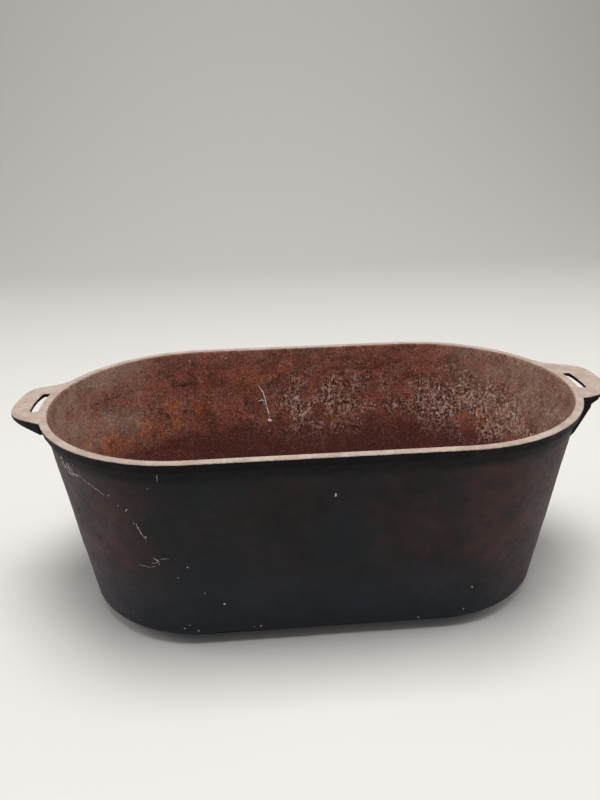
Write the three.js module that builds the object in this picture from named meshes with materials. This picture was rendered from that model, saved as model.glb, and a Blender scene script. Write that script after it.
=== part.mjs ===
// Oblong cast iron dutch oven with a stepped base, a reinforced rim and two slotted lifting handles.
// Millimetres, +Z up. The origin is the centre of the face that it stands on.
// X runs along the pot from handle to handle, and Y runs from front to back.
//
// The pot is one casting. It is divided here along its own features: the sunken base, the rounded
// lower corner with its ledge, the side wall, the rim band, and the handles with their ribs.

import * as THREE from 'three';
import { mergeVertices } from 'three/addons/utils/BufferGeometryUtils.js';

// Outline of the rim: a straight-sided oblong with round ends.
const RIM_LENGTH = 508;
const END_RADIUS = 142;
const END_CENTRE = RIM_LENGTH / 2 - END_RADIUS;
const END_STEPS = 28;

// Heights.
const TOTAL_HEIGHT = 200;
const LEDGE_HEIGHT = 10;
const RIM_BAND_HEIGHT = 9.5;
const BAND_FOOT_HEIGHT = TOTAL_HEIGHT - RIM_BAND_HEIGHT;
const CORNER_HEIGHT = 28;

// Wall and rim, as insets from the outline.
const DRAFT = THREE.MathUtils.degToRad(7.6);
const RIM_WIDTH = 7.5;
const WALL_STEP = 4;
const BAND_TAPER = 2;
const RIM_OUTER_EASE = 1.2;
const RIM_INNER_EASE = 0.8;

// Lower corner and sunken base.
const CORNER_RADIUS = 8;
const INNER_CORNER_RADIUS = 12;
const CORNER_STEPS = 6;
const LEDGE_THICKNESS = 5;
const BASE_INSET = 13;
const BASE_WALL = 5;
const BASE_FLOOR = 5;
const BASE_EDGE_RADIUS = 2.5;
const BASE_INNER_RADIUS = 3;
const BASE_EDGE_STEPS = 3;

// Handles.
const HANDLE_REACH = 28;
const HANDLE_THICKNESS = 3.8;
const HANDLE_FIT_GAP = 0.3;
const HANDLE_ROOT_HALF = 50;
const HANDLE_ROOT_FILLET = 4;
const HANDLE_NECK_HALF = 43.5;
const HANDLE_NECK_SETBACK = 26;
const HANDLE_SHOULDER_HALF = 37.5;
const HANDLE_SHOULDER_SETBACK = 13;
const HANDLE_CORNER_HALF = 31.5;
const HANDLE_TIP_HALF = 18;
const HANDLE_TIP_CROWN = 1;
const LEFT_SLOT = { front: 22, rear: 22 };
const RIGHT_SLOT = { front: 25, rear: 15 };
const SLOT_WIDTH = 8.7;
const SLOT_CORNER_RADIUS = 3;
const RIB_THICKNESS = 4.5;
const RIB_DEPTH = RIM_BAND_HEIGHT - HANDLE_THICKNESS;
const RIB_ROOT = { x: 251, y: 42.5 };
const RIB_ANGLE = THREE.MathUtils.degToRad(25);
const RIB_LENGTH = 24;
const RIB_TOE = 0.4;

// Tall gussets under the right handle, as distances out from the rim's outline and heights.
const GUSSET_ANGLE = THREE.MathUtils.degToRad(16.3);
const GUSSET_REACH = 9.2;
const GUSSET_CHEEK_Z = 187.5;
const GUSSET_TOE_OUT = -3.4;
const GUSSET_TOE_Z = 158.2;
const GUSSET_END_Z = 154.5;
const GUSSET_FIT_GAP = 0.3;

/** Inset of the wall's outer face at a height. */
function outerInset(z) {
  return WALL_STEP + (TOTAL_HEIGHT - z) * Math.tan(DRAFT);
}

/** Inset of the wall's inner face at a height. */
function innerInset(z) {
  return RIM_WIDTH + (TOTAL_HEIGHT - z) * Math.tan(DRAFT);
}

/** Points of a circular arc in the plane of inset and height, between two angles in radians. */
function arc(centreInset, centreZ, radius, from, to, steps) {
  const points = [];
  for (let step = 0; step <= steps; step += 1) {
    const angle = from + ((to - from) * step) / steps;
    points.push([centreInset + radius * Math.cos(angle), centreZ + radius * Math.sin(angle)]);
  }
  return points;
}

/** Drops the normals and texture places, joins shared corners and leaves out triangles with no area. */
function weld(geometry) {
  geometry.deleteAttribute('normal');
  geometry.deleteAttribute('uv');
  const merged = mergeVertices(geometry, 1e-4);
  const source = merged.index.array;
  const kept = [];
  for (let i = 0; i < source.length; i += 3) {
    const [a, b, c] = source.subarray(i, i + 3);
    if (a !== b && b !== c && c !== a) {
      kept.push(a, b, c);
    }
  }
  merged.setIndex(kept);
  merged.computeVertexNormals();
  return merged;
}

/**
 * Carries a profile of [inset, height] points round the oblong outline.
 * A turned shape is opened along the middle and its two halves are drawn apart to the end centres.
 * The profile runs clockwise, seen with the inset to the right and the height up.
 */
function carryRound(profile) {
  const points = profile.map(([inset, z]) => new THREE.Vector2(END_RADIUS - inset, z));
  const columns = 2 * (END_STEPS + 1);
  const geometry = new THREE.LatheGeometry(points, columns);
  const position = geometry.getAttribute('position');
  for (let column = 0; column <= columns; column += 1) {
    const place = column % columns;
    const side = place <= END_STEPS ? 1 : -1;
    const step = place <= END_STEPS ? place : place - 1;
    const angle = (Math.PI * step) / END_STEPS - Math.PI / 2;
    points.forEach((point, row) => {
      const x = side * END_CENTRE + point.x * Math.cos(angle);
      const y = point.x * Math.sin(angle);
      position.setXYZ(column * points.length + row, x, y, point.y);
    });
  }
  return weld(geometry);
}

/** A profile that closes on itself. */
function closed(profile) {
  return [...profile, profile[0]];
}

function rimBandProfile() {
  const innerTop = RIM_WIDTH + RIM_INNER_EASE * Math.tan(DRAFT);
  return closed([
    [RIM_OUTER_EASE, TOTAL_HEIGHT],
    [RIM_WIDTH - RIM_INNER_EASE, TOTAL_HEIGHT],
    [innerTop, TOTAL_HEIGHT - RIM_INNER_EASE],
    [innerInset(BAND_FOOT_HEIGHT), BAND_FOOT_HEIGHT],
    [BAND_TAPER, BAND_FOOT_HEIGHT],
    [0, TOTAL_HEIGHT - RIM_OUTER_EASE],
  ]);
}

function sideWallProfile() {
  return closed([
    [outerInset(BAND_FOOT_HEIGHT), BAND_FOOT_HEIGHT],
    [innerInset(BAND_FOOT_HEIGHT), BAND_FOOT_HEIGHT],
    [innerInset(CORNER_HEIGHT), CORNER_HEIGHT],
    [outerInset(CORNER_HEIGHT), CORNER_HEIGHT],
  ]);
}

function baseInset() {
  return outerInset(LEDGE_HEIGHT) + BASE_INSET;
}

function lowerCornerProfile() {
  const innerCentreZ = LEDGE_HEIGHT + LEDGE_THICKNESS + INNER_CORNER_RADIUS;
  const innerCentre = innerInset(innerCentreZ) + INNER_CORNER_RADIUS / Math.cos(DRAFT);
  const outerCentreZ = LEDGE_HEIGHT + CORNER_RADIUS;
  const outerCentre = outerInset(outerCentreZ) + CORNER_RADIUS / Math.cos(DRAFT);
  const wallward = Math.PI + DRAFT;
  const down = 1.5 * Math.PI;
  const throat = baseInset() + BASE_WALL;
  return closed([
    [outerInset(CORNER_HEIGHT), CORNER_HEIGHT],
    [innerInset(CORNER_HEIGHT), CORNER_HEIGHT],
    ...arc(innerCentre, innerCentreZ, INNER_CORNER_RADIUS, wallward, down, CORNER_STEPS),
    [throat, LEDGE_HEIGHT + LEDGE_THICKNESS],
    [throat, LEDGE_HEIGHT],
    ...arc(outerCentre, outerCentreZ, CORNER_RADIUS, down, wallward, CORNER_STEPS),
  ]);
}

function sunkenBaseProfile() {
  const outer = baseInset();
  const inner = outer + BASE_WALL;
  const edge = arc(
    outer + BASE_EDGE_RADIUS, BASE_EDGE_RADIUS, BASE_EDGE_RADIUS, 1.5 * Math.PI, Math.PI, BASE_EDGE_STEPS,
  );
  const root = arc(
    inner + BASE_INNER_RADIUS, BASE_FLOOR + BASE_INNER_RADIUS, BASE_INNER_RADIUS,
    Math.PI, 1.5 * Math.PI, BASE_EDGE_STEPS,
  );
  return [
    [END_RADIUS, 0],
    ...edge,
    [outer, LEDGE_HEIGHT],
    [inner, LEDGE_HEIGHT],
    ...root,
    [END_RADIUS, BASE_FLOOR],
  ];
}

/** Plan of the right handle: a bar on two legs that grow out of the rim, with a slot behind the bar. */
function handleOutline(slotFront, slotRear) {
  const rim = END_RADIUS + HANDLE_FIT_GAP;
  const tip = RIM_LENGTH / 2 + HANDLE_REACH;
  const rootAngle = Math.asin(HANDLE_ROOT_HALF / rim);
  const frontAngle = -Math.asin(slotFront / rim);
  const rearAngle = Math.asin(slotRear / rim);
  const slotOuter = rim + SLOT_WIDTH;
  const cornerAngle = SLOT_CORNER_RADIUS / slotOuter;
  const at = (radius, angle) => [END_CENTRE + radius * Math.cos(angle), radius * Math.sin(angle)];
  const [rootX] = at(rim, rootAngle);
  const filletX = rootX + HANDLE_ROOT_FILLET;
  const filletY = (HANDLE_ROOT_HALF + HANDLE_NECK_HALF) / 2;
  const shoulder = tip - HANDLE_SHOULDER_SETBACK;
  const neck = tip - HANDLE_NECK_SETBACK;
  const crownStart = tip - HANDLE_TIP_CROWN;
  const crownPeak = tip + HANDLE_TIP_CROWN;
  const outline = new THREE.Shape();
  outline.moveTo(rootX, -HANDLE_ROOT_HALF);
  outline.quadraticCurveTo(filletX, -filletY, neck, -HANDLE_NECK_HALF);
  outline.lineTo(shoulder, -HANDLE_SHOULDER_HALF);
  outline.quadraticCurveTo(crownStart, -HANDLE_CORNER_HALF, crownStart, -HANDLE_TIP_HALF);
  outline.quadraticCurveTo(crownPeak, 0, crownStart, HANDLE_TIP_HALF);
  outline.quadraticCurveTo(crownStart, HANDLE_CORNER_HALF, shoulder, HANDLE_SHOULDER_HALF);
  outline.lineTo(neck, HANDLE_NECK_HALF);
  outline.quadraticCurveTo(filletX, filletY, rootX, HANDLE_ROOT_HALF);
  outline.absarc(END_CENTRE, 0, rim, rootAngle, rearAngle, true);
  outline.lineTo(...at(slotOuter - SLOT_CORNER_RADIUS, rearAngle));
  outline.quadraticCurveTo(...at(slotOuter, rearAngle), ...at(slotOuter, rearAngle - cornerAngle));
  outline.absarc(END_CENTRE, 0, slotOuter, rearAngle - cornerAngle, frontAngle + cornerAngle, true);
  outline.quadraticCurveTo(...at(slotOuter, frontAngle), ...at(slotOuter - SLOT_CORNER_RADIUS, frontAngle));
  outline.lineTo(...at(rim, frontAngle));
  outline.absarc(END_CENTRE, 0, rim, frontAngle, -rootAngle, true);
  return outline;
}

/** The flat lifting plate, flush with the top of the rim. */
function handlePlate(slot) {
  const settings = { depth: HANDLE_THICKNESS, bevelEnabled: false, curveSegments: 10 };
  const geometry = new THREE.ExtrudeGeometry(handleOutline(slot.front, slot.rear), settings);
  geometry.translate(0, 0, TOTAL_HEIGHT - HANDLE_THICKNESS);
  return weld(geometry);
}

/** Cuts an upright plate from an outline of distances out and heights, centred on Y = 0. */
function uprightPlate(outline) {
  const geometry = new THREE.ExtrudeGeometry(outline, { depth: RIB_THICKNESS, bevelEnabled: false });
  geometry.rotateX(Math.PI / 2);
  geometry.translate(0, RIB_THICKNESS / 2, 0);
  return weld(geometry);
}

/** A tapering rib under one edge of a plate, deepest at the rim. */
function handleRib() {
  const head = TOTAL_HEIGHT - HANDLE_THICKNESS;
  const outline = new THREE.Shape();
  outline.moveTo(0, head);
  outline.lineTo(0, head - RIB_DEPTH);
  outline.lineTo(RIB_LENGTH, head - RIB_TOE);
  outline.lineTo(RIB_LENGTH, head);
  return uprightPlate(outline);
}

/** A tall gusset from under a plate down past the rim band to the wall, drawn from the end centre. */
function handleGusset() {
  const head = TOTAL_HEIGHT - HANDLE_THICKNESS;
  const underBand = BAND_FOOT_HEIGHT - GUSSET_FIT_GAP;
  const wallAt = (z) => END_RADIUS - outerInset(z) + GUSSET_FIT_GAP;
  const outline = new THREE.Shape();
  outline.moveTo(END_RADIUS + GUSSET_FIT_GAP, head);
  outline.lineTo(END_RADIUS - BAND_TAPER + GUSSET_FIT_GAP, underBand);
  outline.lineTo(wallAt(underBand), underBand);
  outline.lineTo(wallAt(GUSSET_END_Z), GUSSET_END_Z);
  outline.lineTo(END_RADIUS + GUSSET_TOE_OUT, GUSSET_TOE_Z);
  outline.lineTo(END_RADIUS + GUSSET_REACH, GUSSET_CHEEK_Z);
  outline.lineTo(END_RADIUS + GUSSET_REACH, head);
  return uprightPlate(outline);
}

const OUTSIDE_IRON = new THREE.MeshStandardMaterial({ color: 0x2c2a2d, roughness: 0.75, metalness: 0.3 });
const BASE_IRON = new THREE.MeshStandardMaterial({ color: 0x232427, roughness: 0.85, metalness: 0.3 });
const RIM_IRON = new THREE.MeshStandardMaterial({ color: 0xb4a096, roughness: 0.8, metalness: 0.2 });
const HANDLE_IRON = new THREE.MeshStandardMaterial({ color: 0xbba79c, roughness: 0.8, metalness: 0.2 });

function named(name, geometry, material) {
  const mesh = new THREE.Mesh(geometry, material);
  mesh.name = name;
  return mesh;
}

/** The right handle on two tall gussets. */
function rightHandle() {
  const group = new THREE.Group();
  group.add(named('right_handle', handlePlate(RIGHT_SLOT), HANDLE_IRON));
  for (const [place, sign] of [['front', -1], ['rear', 1]]) {
    const gusset = named(`right_handle_${place}_rib`, handleGusset(), OUTSIDE_IRON);
    gusset.position.x = END_CENTRE;
    gusset.rotation.z = sign * GUSSET_ANGLE;
    group.add(gusset);
  }
  return group;
}

/** The left handle on two shallow ribs, drawn as a right one and turned half round. */
function leftHandle() {
  const group = new THREE.Group();
  group.add(named('left_handle', handlePlate(LEFT_SLOT), HANDLE_IRON));
  for (const [place, sign] of [['front', 1], ['rear', -1]]) {
    const rib = named(`left_handle_${place}_rib`, handleRib(), OUTSIDE_IRON);
    rib.position.set(RIB_ROOT.x, sign * RIB_ROOT.y, 0);
    rib.rotation.z = -sign * RIB_ANGLE;
    group.add(rib);
  }
  group.rotation.z = Math.PI;
  return group;
}

const pot = new THREE.Group();
pot.add(named('sunken_base', carryRound(sunkenBaseProfile()), BASE_IRON));
pot.add(named('lower_corner', carryRound(lowerCornerProfile()), OUTSIDE_IRON));
pot.add(named('side_wall', carryRound(sideWallProfile()), OUTSIDE_IRON));
pot.add(named('rim_band', carryRound(rimBandProfile()), RIM_IRON));
pot.add(rightHandle());
pot.add(leftHandle());

export default pot;
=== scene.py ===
"""The looks of an oblong cast iron dutch oven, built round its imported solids.

Every surface is worked out on a grid: a section of insets and heights is carried round the oblong
outline, or round the slot of a handle. Old iron is never smooth, so each surface is then pushed in or
out by noise, and the same noise is kept on the mesh as attributes that steer the colours.
"""

import logging
import math
from dataclasses import dataclass
from enum import Enum

import bmesh
import bpy
import numpy as np
from mathutils import Matrix, Vector


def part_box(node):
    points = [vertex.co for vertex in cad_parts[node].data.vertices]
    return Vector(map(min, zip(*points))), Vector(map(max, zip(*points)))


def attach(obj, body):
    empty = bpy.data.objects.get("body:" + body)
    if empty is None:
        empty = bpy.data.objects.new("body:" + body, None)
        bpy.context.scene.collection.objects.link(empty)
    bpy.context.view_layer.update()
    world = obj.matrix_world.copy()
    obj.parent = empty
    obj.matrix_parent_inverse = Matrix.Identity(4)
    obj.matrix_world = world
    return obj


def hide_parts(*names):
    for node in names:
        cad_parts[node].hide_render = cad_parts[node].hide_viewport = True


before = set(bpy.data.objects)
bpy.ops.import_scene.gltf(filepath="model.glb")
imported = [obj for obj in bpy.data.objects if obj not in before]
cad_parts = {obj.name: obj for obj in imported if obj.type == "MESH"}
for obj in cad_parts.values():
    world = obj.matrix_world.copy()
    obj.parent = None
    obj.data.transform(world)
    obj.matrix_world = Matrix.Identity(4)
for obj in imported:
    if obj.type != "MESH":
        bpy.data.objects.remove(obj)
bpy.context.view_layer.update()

MM = 0.001
log = logging.getLogger("dutch_oven")


# ------------------------------------------------------------------ noise

def hashed(cells: np.ndarray, seed: int) -> np.ndarray:
    """A repeatable random number for each lattice cell.

    The three whole coordinates are multiplied by large odd numbers, added, and mixed by shifts.

    Args:
        cells: whole coordinates, shape (..., 3).
        seed: picks one of many patterns.

    Returns:
        Numbers from 0 to 1, shape (...).
    """
    grid = cells.astype(np.int64).astype(np.uint32)
    mixed = grid[..., 0] * np.uint32(0x8DA6B343) + grid[..., 1] * np.uint32(0xD8163841)
    mixed = mixed + grid[..., 2] * np.uint32(0xCB1AB31F) + np.uint32(seed * 7919 + 13)
    mixed = (mixed ^ (mixed >> np.uint32(15))) * np.uint32(0x2C1B3C6D)
    mixed = (mixed ^ (mixed >> np.uint32(12))) * np.uint32(0x297A2D39)
    mixed = mixed ^ (mixed >> np.uint32(15))
    return mixed.astype(np.float64) / 4294967295.0


def noise(points: np.ndarray, size: float, seed: int) -> np.ndarray:
    """Gradient noise: each lattice corner has a random slope, and the slopes are blended smoothly.

    Args:
        points: places in millimetres, shape (..., 3).
        size: distance between lattice corners in millimetres.
        seed: picks the pattern.

    Returns:
        Values from about -1 to 1, shape (...).
    """
    scaled = points / size
    cell = np.floor(scaled)
    part = scaled - cell
    fade = part ** 3 * (part * (part * 6 - 15) + 10)
    total = np.zeros(points.shape[:-1])
    for corner in np.ndindex(2, 2, 2):
        step = np.array(corner)
        slope = np.stack([hashed(cell + step, seed + axis) * 2 - 1 for axis in range(3)], axis=-1)
        weight = np.prod(np.where(step == 1, fade, 1 - fade), axis=-1)
        total += weight * np.sum(slope * (part - step), axis=-1)
    return total * 1.6


def layered(points: np.ndarray, size: float, seed: int, octaves: int = 3) -> np.ndarray:
    """Noise with finer and weaker noise on top: each layer has half the size and half the strength."""
    total = np.zeros(points.shape[:-1])
    for octave in range(octaves):
        total += noise(points, size / 2 ** octave, seed + 31 * octave) / 2 ** octave
    return total


def spots(points: np.ndarray, size: float, seed: int) -> tuple[np.ndarray, np.ndarray]:
    """Distance to the nearest of many scattered centres, one in each lattice cell.

    Args:
        points: places in millimetres, shape (..., 3).
        size: mean distance between centres in millimetres.
        seed: picks the pattern.

    Returns:
        The distance as a share of size, and a random number from 0 to 1 for the nearest centre.
    """
    scaled = points / size
    cell = np.floor(scaled)
    nearest = np.full(points.shape[:-1], 9.0)
    chosen = np.zeros(points.shape[:-1])
    for step in np.ndindex(3, 3, 3):
        home = cell + np.array(step) - 1
        centre = home + np.stack([hashed(home, seed + axis) for axis in range(3)], axis=-1)
        distance = np.linalg.norm(scaled - centre, axis=-1)
        closer = distance < nearest
        nearest = np.where(closer, distance, nearest)
        chosen = np.where(closer, hashed(home, seed + 5), chosen)
    return nearest, chosen


def ease(low: float, high: float, value: np.ndarray) -> np.ndarray:
    """A smooth rise from 0 at low to 1 at high, or a fall where low is above high."""
    share = np.clip((value - low) / (high - low), 0, 1)
    return share * share * (3 - 2 * share)


def hill(value: np.ndarray, centre: float, half: float) -> np.ndarray:
    """A smooth bump of height 1 round a centre, 0.37 high at the half width."""
    return np.exp(-((value - centre) / half) ** 2)


# ------------------------------------------------------------------ plan and sections

@dataclass(frozen=True)
class Plan:
    """The oblong outline of the rim in millimetres: straight sides and half-round ends."""

    half_length: float
    half_width: float

    @property
    def centre(self) -> float:
        """Distance from the middle to the centre of each round end."""
        return self.half_length - self.half_width

    def columns(self, count: int) -> tuple[np.ndarray, np.ndarray]:
        """Evenly spaced places on the outline, anticlockwise from the middle of the right end.

        The way walked so far is cut into five stretches: a quarter turn, the rear side, the left end,
        the front side and a last quarter turn.

        Args:
            count: how many places, a multiple of 4.

        Returns:
            The places and the outward directions there, both of shape (count, 2).
        """
        quarter, side = math.pi * self.half_width / 2, 2 * self.centre
        lengths = np.array([quarter, side, 2 * quarter, side, quarter])
        starts = np.concatenate([[0], np.cumsum(lengths)[:-1]])
        walked = np.arange(count) / count * lengths.sum()
        done = np.clip(walked[:, None] - starts, 0, lengths)
        angle = (done[:, 0] + done[:, 2] + done[:, 4]) / self.half_width
        outward = np.stack([np.cos(angle), np.sin(angle)], axis=1)
        middle = np.stack([self.centre - done[:, 1] + done[:, 3], np.zeros(count)], axis=1)
        return middle + self.half_width * outward, outward

    def depth_at(self, x: float, inset: float) -> float:
        """Half the width of the outline at a place along its length, once it is shrunk by an inset."""
        beyond = max(abs(x) - self.centre, 0)
        return math.sqrt(max((self.half_width - inset) ** 2 - beyond ** 2, 0))


@dataclass(frozen=True)
class Corner:
    """One corner of a section, with the radius that rounds it and the spacing of the side after it."""

    inset: float
    height: float
    radius: float = 0.0
    spacing: float = 2.0


@dataclass(frozen=True)
class Section:
    """A line of insets and heights, with the outward direction at each of its points."""

    inset: np.ndarray
    height: np.ndarray
    out_inset: np.ndarray
    out_height: np.ndarray


ROUND_STEPS = 7


def rounded(corners: list[Corner], closed: bool = True) -> Section:
    """A section through corners, each turned into an arc that touches both of its sides.

    An arc of radius r at a corner that turns by an angle a starts r tan(a / 2) before the corner. The
    sides between the arcs are divided evenly at their own spacing.

    Args:
        corners: in order, with the iron on the left of the way walked.
        closed: whether the last corner joins the first. The two ends of an open section stay sharp.

    Returns:
        The points, with outward directions from the slope of the line.
    """
    count = len(corners)
    place = np.array([[c.inset, c.height] for c in corners])
    arcs = []
    for index, corner in enumerate(corners):
        at_end = not closed and index in (0, count - 1)
        if corner.radius <= 0 or at_end:
            arcs.append(place[index][None])
            continue
        before = place[index - 1] - place[index]
        after = place[(index + 1) % count] - place[index]
        before, after = before / np.linalg.norm(before), after / np.linalg.norm(after)
        half = math.acos(np.clip(before @ after, -1, 1)) / 2
        inward = (before + after) / np.linalg.norm(before + after)
        middle = place[index] + inward * corner.radius / math.sin(half)
        reach = corner.radius / math.tan(half)
        first, last = place[index] + before * reach - middle, place[index] + after * reach - middle
        turn = math.atan2(first[0] * last[1] - first[1] * last[0], first @ last)
        angles = math.atan2(first[1], first[0]) + np.linspace(0, turn, ROUND_STEPS)
        arcs.append(middle + corner.radius * np.stack([np.cos(angles), np.sin(angles)], axis=1))
    line = []
    for index, arc in enumerate(arcs):
        line.append(arc)
        if index == count - 1 and not closed:
            break
        target = arcs[(index + 1) % count][0]
        gap = target - arc[-1]
        steps = max(int(np.linalg.norm(gap) / corners[index].spacing), 1)
        line.append(arc[-1] + gap * np.arange(1, steps)[:, None] / steps)
    points = np.concatenate(line)
    if closed:
        slope = np.roll(points, -1, axis=0) - np.roll(points, 1, axis=0)
    else:
        slope = np.gradient(points, axis=0)
    slope /= np.maximum(np.linalg.norm(slope, axis=1), 1e-9)[:, None]
    return Section(points[:, 0], points[:, 1], slope[:, 1], -slope[:, 0])


@dataclass
class Surface:
    """A grid of places and outward directions in millimetres, shape (rows, columns, 3)."""

    place: np.ndarray
    outward: np.ndarray

    def push(self, amount: np.ndarray) -> None:
        """Moves every point along its outward direction."""
        self.place = self.place + self.outward * amount[..., None]


def carry(section: Section, plan: Plan, count: int) -> Surface:
    """Carries a section round the outline.

    A point is the outline's place less its outward direction times the inset, at the section's height.

    Args:
        section: the line to carry.
        plan: the outline.
        count: how many columns.

    Returns:
        The surface, one row for each point of the section.
    """
    foot, outward = plan.columns(count)
    flat = foot[None] - outward[None] * section.inset[:, None, None]
    height = np.broadcast_to(section.height[:, None, None], flat.shape[:2] + (1,))
    lean = -outward[None] * section.out_inset[:, None, None]
    rise = np.broadcast_to(section.out_height[:, None, None], flat.shape[:2] + (1,))
    return Surface(np.concatenate([flat, height], axis=2), np.concatenate([lean, rise], axis=2))


def grid_faces(rows: int, columns: int, closed: bool) -> np.ndarray:
    """Four-sided faces between neighbours of a grid that closes on itself across its columns.

    Args:
        rows: how many rows.
        columns: how many columns.
        closed: whether the last row joins the first.

    Returns:
        Point numbers, shape (faces, 4).
    """
    row = np.arange(rows if closed else rows - 1)[:, None]
    column = np.arange(columns)[None]
    here, beyond = row * columns, (row + 1) % rows * columns
    right = (column + 1) % columns
    quads = np.stack(np.broadcast_arrays(here + column, here + right, beyond + right, beyond + column), -1)
    return quads.reshape(-1, 4)


def facing_out(points: np.ndarray, faces: np.ndarray) -> np.ndarray:
    """The faces, turned over if the volume that they enclose comes out negative."""
    a, b, c, d = (points[faces[:, k]] for k in range(4))
    volume = np.sum(a * np.cross(b, c)) + np.sum(a * np.cross(c, d))
    return faces if volume > 0 else faces[:, ::-1]


# ------------------------------------------------------------------ colours and node trees

def linear(code: str) -> tuple[float, float, float, float]:
    """A hex sRGB colour as the linear colour that a shader takes."""
    parts = [int(code[i:i + 2], 16) / 255 for i in (1, 3, 5)]
    bent = [p / 12.92 if p <= 0.04045 else ((p + 0.055) / 1.055) ** 2.4 for p in parts]
    return (*bent, 1.0)


class Field(Enum):
    """Numbers that a mesh holds for its material."""

    SCALE = "scale_flakes"
    # dust, with painted sheen at the pot's round ends
    DUST_AND_SHEEN = "dust_and_sheen"
    ORANGE = "orange_rust"
    WORN = "worn"
    BLOOM = "brown_bloom"
    SLATE = "slate"
    # painted shade: under the rim band, under the base and on the gussets under the right tab
    PAINTED_SHADE = "painted_shade"
    DEPTH = "depth"


class Tree:
    """The node tree of one material, with short ways to add nodes to it."""

    def __init__(self, name: str, shine: float = 0.25) -> None:
        """Makes the material with its surface shader and output.

        Args:
            name: the material's name.
            shine: strength of the mirror-like part. Crusted iron has far less than clean metal.
        """
        self.material = bpy.data.materials.new(name)
        self.material.use_nodes = True
        self.nodes = self.material.node_tree.nodes
        self.links = self.material.node_tree.links
        self.nodes.clear()
        self.shader = self.add("ShaderNodeBsdfPrincipled")
        self.add("ShaderNodeOutputMaterial", links={"Surface": self.shader.outputs["BSDF"]})
        self.place = self.add("ShaderNodeTexCoord").outputs["Object"]
        self.shader.inputs["Specular IOR Level"].default_value = shine

    def add(self, kind: str, settings: dict | None = None, links: dict | None = None) -> bpy.types.Node:
        """Adds a node.

        Args:
            kind: the node's type name.
            settings: attributes of the node by name.
            links: for each input, by name or number, a socket to link or a value to set.

        Returns:
            The node.
        """
        node = self.nodes.new(kind)
        for name, value in (settings or {}).items():
            setattr(node, name, value)
        for key, value in (links or {}).items():
            if isinstance(value, bpy.types.NodeSocket):
                self.links.new(value, node.inputs[key])
            else:
                node.inputs[key].default_value = value
        return node

    def grain(self, size_mm: float, detail: float = 3.0, roughness: float = 0.55,
              place: bpy.types.NodeSocket | None = None) -> bpy.types.NodeSocket:
        """Noise whose lumps are about size_mm apart, from 0 to 1."""
        links = {"Vector": place or self.place, "Scale": 1 / (size_mm * MM), "Detail": detail,
                 "Roughness": roughness}
        return self.add("ShaderNodeTexNoise", links=links).outputs["Fac"]

    def stretched(self, x: float, y: float, z: float,
                  place: bpy.types.NodeSocket | None = None) -> bpy.types.NodeSocket:
        """The place, scaled on each axis. A pattern read there is long where the scale is small."""
        links = {0: place or self.place, 1: (x, y, z)}
        return self.add("ShaderNodeVectorMath", {"operation": "MULTIPLY"}, links).outputs[0]

    def ragged(self, amount_mm: float, size_mm: float) -> bpy.types.NodeSocket:
        """The place, shaken by noise, so that a pattern read there has ragged edges."""
        links = {"Vector": self.place, "Scale": 1 / (size_mm * MM), "Detail": 2.0}
        shake = self.add("ShaderNodeTexNoise", links=links).outputs["Color"]
        middle = self.add("ShaderNodeVectorMath", {"operation": "SUBTRACT"}, {0: shake, 1: (0.5, 0.5, 0.5)})
        links = {0: middle.outputs[0], "Scale": 2 * amount_mm * MM}
        scaled = self.add("ShaderNodeVectorMath", {"operation": "SCALE"}, links)
        return self.add("ShaderNodeVectorMath", {}, {0: self.place, 1: scaled.outputs[0]}).outputs[0]

    def flakes(self, size_mm: float, place: bpy.types.NodeSocket) -> bpy.types.NodeSocket:
        """Ragged patches about size_mm wide, each with its own random number from 0 to 1."""
        links = {"Vector": place, "Scale": 1 / (size_mm * MM)}
        shade = self.add("ShaderNodeTexVoronoi", links=links).outputs["Color"]
        return self.add("ShaderNodeSeparateColor", links={0: shade}).outputs[0]

    def field(self, which: Field) -> bpy.types.NodeSocket:
        """A number that the mesh holds at each of its points."""
        return self.add("ShaderNodeAttribute", {"attribute_name": which.value}).outputs["Fac"]

    def span(self, value: bpy.types.NodeSocket, low: float, high: float,
             to_low: float = 0.0, to_high: float = 1.0) -> bpy.types.NodeSocket:
        """The value, with low to high spread over to_low to to_high and held there beyond them."""
        links = {"Value": value, "From Min": low, "From Max": high, "To Min": to_low, "To Max": to_high}
        return self.add("ShaderNodeMapRange", {"interpolation_type": "SMOOTHSTEP"}, links).outputs["Result"]

    def math(self, how: str, first: bpy.types.NodeSocket | float,
             second: bpy.types.NodeSocket | float = 0.0) -> bpy.types.NodeSocket:
        """Two numbers joined by an operation, such as ADD or MULTIPLY."""
        return self.add("ShaderNodeMath", {"operation": how}, {0: first, 1: second}).outputs[0]

    def times(self, first: bpy.types.NodeSocket,
              second: bpy.types.NodeSocket | float) -> bpy.types.NodeSocket:
        """One number times another."""
        return self.math("MULTIPLY", first, second)

    def blend(self, share: bpy.types.NodeSocket, first: bpy.types.NodeSocket | str,
              second: bpy.types.NodeSocket | str) -> bpy.types.NodeSocket:
        """Colour first with colour second over it by a share. A colour is a socket or a hex code."""
        node = self.add("ShaderNodeMix", {"data_type": "RGBA"}, {0: share})
        for key, colour in ((6, first), (7, second)):
            if isinstance(colour, str):
                node.inputs[key].default_value = linear(colour)
            else:
                self.links.new(colour, node.inputs[key])
        return node.outputs[2]

    def coats(self, colour: bpy.types.NodeSocket,
              coats: list[tuple[bpy.types.NodeSocket, str]]) -> bpy.types.NodeSocket:
        """A colour with further hex colours over it in turn, each by its own share."""
        for share, code in coats:
            colour = self.blend(share, colour, code)
        return colour

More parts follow.
